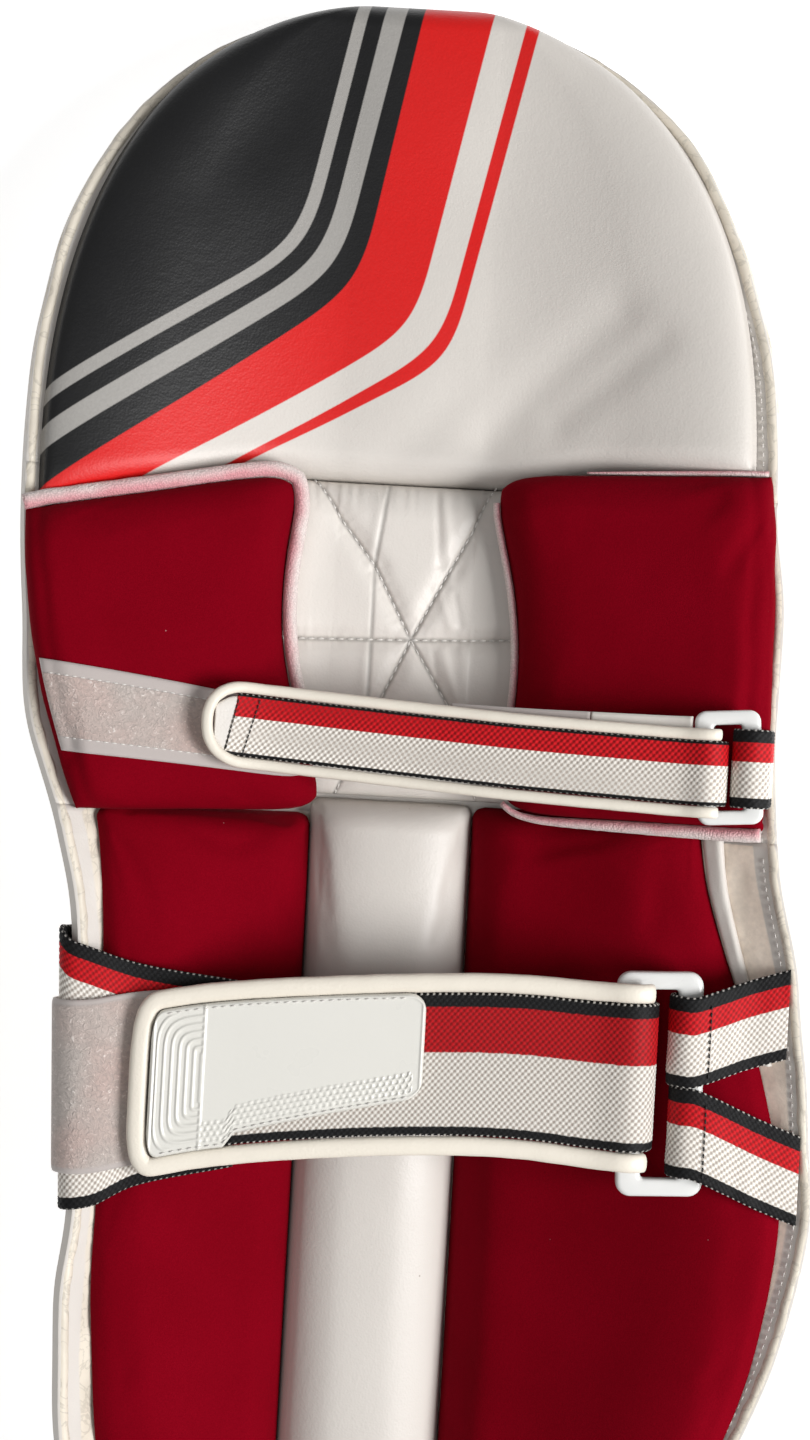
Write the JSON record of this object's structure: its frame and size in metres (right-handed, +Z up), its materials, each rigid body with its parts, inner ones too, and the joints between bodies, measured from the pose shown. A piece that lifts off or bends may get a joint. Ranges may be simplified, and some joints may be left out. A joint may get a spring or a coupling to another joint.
{
  "type": "cricket batting pad",
  "caption": "Cricket batting pad for the right leg, lying on its front: curved white shell, knee rolls and ribs, quilted knee hollow, red cushions, knee and calf straps through rings.",
  "frame": {"origin": "on the plane that the ribs and knee rolls rest on, in the middle of the pad's plan", "axes": "+Z up from the front of the pad to the leg side, +Y along the pad to the top hat, +X to the outer side of the leg, where the rings are"},
  "size_m": [0.321, 0.6954, 0.1066],
  "materials": {
    "white_leather": "satin white synthetic leather with a fine grain",
    "cream_leather": "soft cream leather binding",
    "red_fabric": "deep red brushed fabric over foam",
    "pale_tape": "pale pink knitted tape",
    "striped_webbing": "woven webbing striped black, red and white",
    "loop_tape": "fuzzy white loop tape",
    "ring_plastic": "smooth white plastic",
    "moulded_patch": "soft moulded white plastic with raised ridges"
  },
  "bodies": {
    "root": {"top_hat_shell": "white_leather", "knee_shell": "white_leather", "shin_shell": "white_leather", "instep_shell": "white_leather", "knee_roll_lower": "white_leather", "knee_roll_middle": "white_leather", "knee_roll_upper": "white_leather", "top_hat_panel": "white_leather", "knee_locator": "white_leather", "shin_bolster_centre": "white_leather", "bolster_edge_right": "white_leather", "knee_strap_tab": "white_leather", "shin_rib_1": "white_leather", "shin_rib_2": "white_leather", "shin_rib_3": "white_leather", "shin_rib_4": "white_leather", "shin_rib_5": "white_leather", "shin_rib_6": "white_leather", "shin_rib_7": "white_leather", "knee_strap_binding": "cream_leather", "calf_strap_binding": "cream_leather", "shin_bolster_left": "red_fabric", "shin_bolster_right": "red_fabric", "knee_wing_left": "red_fabric", "knee_wing_right": "red_fabric", "wing_binding_left": "pale_tape", "wing_binding_right": "pale_tape", "knee_strap_webbing": "striped_webbing", "knee_ring_anchor": "striped_webbing", "calf_strap_webbing": "striped_webbing", "calf_band_upper": "striped_webbing", "calf_band_lower": "striped_webbing", "calf_anchor_upper": "striped_webbing", "calf_anchor_lower": "striped_webbing", "knee_strap_tail": "loop_tape", "knee_loop_tape": "loop_tape", "calf_loop_patch": "loop_tape", "knee_ring": "ring_plastic", "calf_ring": "ring_plastic", "calf_strap_patch": "moulded_patch"}
  },
  "joints": []
}
